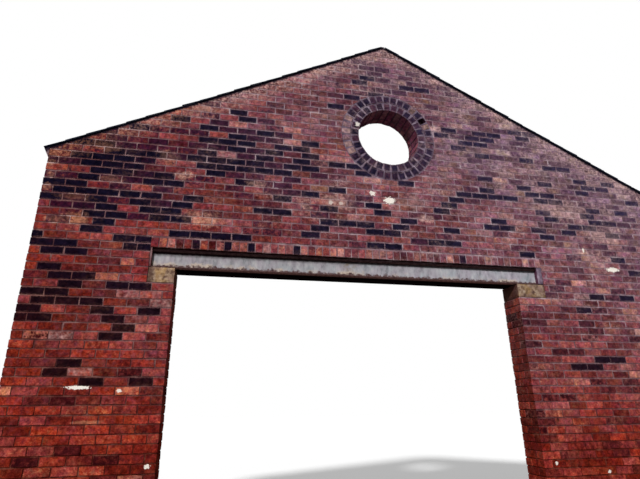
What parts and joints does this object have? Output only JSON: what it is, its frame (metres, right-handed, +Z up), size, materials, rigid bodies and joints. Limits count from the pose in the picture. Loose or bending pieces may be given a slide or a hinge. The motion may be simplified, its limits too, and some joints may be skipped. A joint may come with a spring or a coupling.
{
  "type": "brick gable wall with a wide opening and a bull's-eye",
  "caption": "Free-standing red brick gable wall with a wide vehicle opening under painted steel joists, a round bull's-eye of radiating headers and a thin slate coping.",
  "frame": {"origin": "at ground level, in the middle of the wall's length and of its thickness", "axes": "+X along the wall to the right as seen from the front, +Y through the wall to the back, +Z up"},
  "size_m": [8.4056, 0.387, 6.488],
  "materials": {
    "brick": "matte weathered red brick with blue-black burnt bricks and grey-pink mortar",
    "ring_brick": "matte dark purple-brown brick",
    "mortar": "rough lime mortar",
    "sandstone": "weathered buff sandstone",
    "painted_steel": "old pale grey paint, flaking to rust along the flanges",
    "slate": "matte dark slate"
  },
  "bodies": {
    "root": {"left_pier": "brick", "right_pier": "brick", "left_pier_head": "brick", "right_pier_head": "brick", "left_padstone": "sandstone", "right_padstone": "sandstone", "front_joist": "painted_steel", "back_joist": "painted_steel", "front_joist_bed": "mortar", "back_joist_bed": "mortar", "left_end_packing": "mortar", "right_end_packing": "mortar", "front_bricks_on_edge": "brick", "back_bricks_on_edge": "brick", "left_shoulder": "brick", "breast": "brick", "right_shoulder": "brick", "left_gable_slope": "brick", "right_gable_slope": "brick", "oculus_sill_panel": "brick", "oculus_head_panel": "brick", "front_inner_ring": "ring_brick", "front_outer_ring": "ring_brick", "back_inner_ring": "ring_brick", "back_outer_ring": "ring_brick", "inner_ring_mortar": "mortar", "outer_ring_mortar": "mortar", "left_coping": "slate", "right_coping": "slate", "apex_bedding": "mortar", "left_eave_fillet": "slate", "right_eave_fillet": "slate"}
  },
  "joints": []
}
